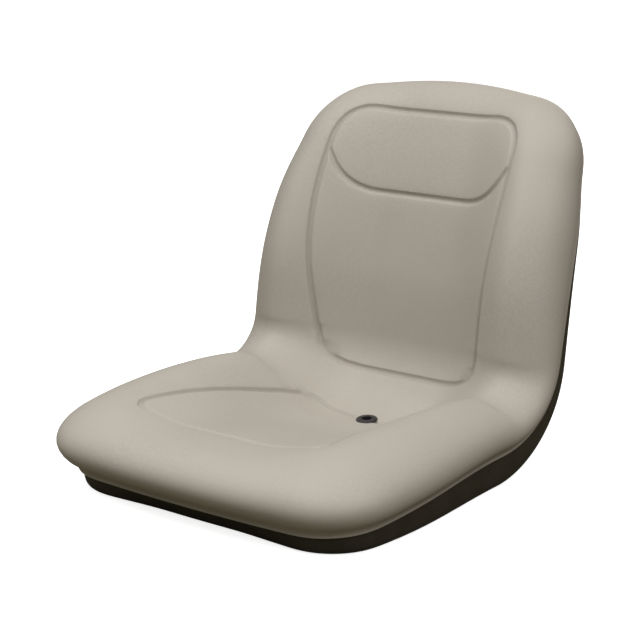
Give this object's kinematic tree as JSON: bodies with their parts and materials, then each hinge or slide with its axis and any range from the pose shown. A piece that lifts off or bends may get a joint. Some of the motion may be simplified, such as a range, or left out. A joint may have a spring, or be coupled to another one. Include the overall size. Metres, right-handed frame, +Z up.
{
  "type": "tractor seat",
  "caption": "Bucket seat with raised back for a compact tractor: formed cover with embossed panels over one moulded cushion, on a pressed steel pan with threaded mounting points.",
  "frame": {"origin": "centre of the mounting bolt pattern, on the flat underside of the pan", "axes": "+X across the seat (its mirror axis), -Y the way the sitter faces, +Z up"},
  "size_m": [0.486, 0.5728, 0.4345],
  "materials": {
    "pan_paint": "semi-matt black powder coat",
    "bar_steel": "plain hot-rolled",
    "nut_steel": "zinc plated",
    "black_plastic": "moulded, matt",
    "foam": "open-cell polyurethane foam with moulded skin",
    "vinyl": "matt vinyl, fine grain"
  },
  "bodies": {
    "root": {"steel_pan": "pan_paint", "front_mount_bar": "bar_steel", "rear_mount_bar": "bar_steel", "weld_nuts": "nut_steel", "switch_plug": "black_plastic", "drain_tube": "black_plastic", "foam_cushion": "foam", "vinyl_cover": "vinyl"}
  },
  "joints": []
}
